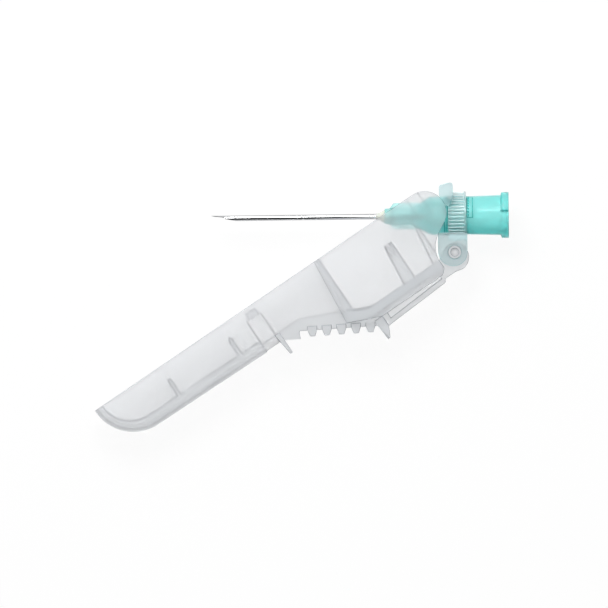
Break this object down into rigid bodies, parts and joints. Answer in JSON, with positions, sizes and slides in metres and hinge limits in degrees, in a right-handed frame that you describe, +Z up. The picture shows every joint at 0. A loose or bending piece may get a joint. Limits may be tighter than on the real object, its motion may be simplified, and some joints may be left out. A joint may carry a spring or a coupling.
{
  "type": "safety hypodermic needle",
  "caption": "Luer hypodermic needle with a hinged, swing-over safety sheath on a rotating ribbed collar, lying open.",
  "frame": {"origin": "centre of the luer socket's mouth, on the needle's axis", "axes": "+X out of the socket along the needle's axis, the cannula pointing along -X; +Y away from the hinge; +Z up, out of the surface that the sheath's flat side lies on"},
  "size_m": [0.0631, 0.0372, 0.0092],
  "materials": {
    "steel": "polished drawn tube",
    "adhesive": "cured cream resin",
    "hub_plastic": "translucent turquoise, moulded",
    "collar_plastic": "clear, faintly aqua, moulded",
    "sheath_plastic": "milky translucent, fine satin"
  },
  "bodies": {
    "hub": {"hub": "hub_plastic", "cannula": "steel", "adhesive_bead": "adhesive"},
    "collar": {"collar": "collar_plastic"},
    "sheath": {"sheath": "sheath_plastic"}
  },
  "joints": [
    {"name": "collar_turn", "type": "hinge", "parent": "hub", "child": "collar", "pos_m": [0, 0, 0], "axis": [1, 0, 0], "continuous": true},
    {"name": "sheath_swing", "type": "hinge", "parent": "collar", "child": "sheath", "pos_m": [-0.00824, -0.00555, 0], "axis": [0, 0, -1], "range_deg": [-65.5, 33.5]}
  ]
}
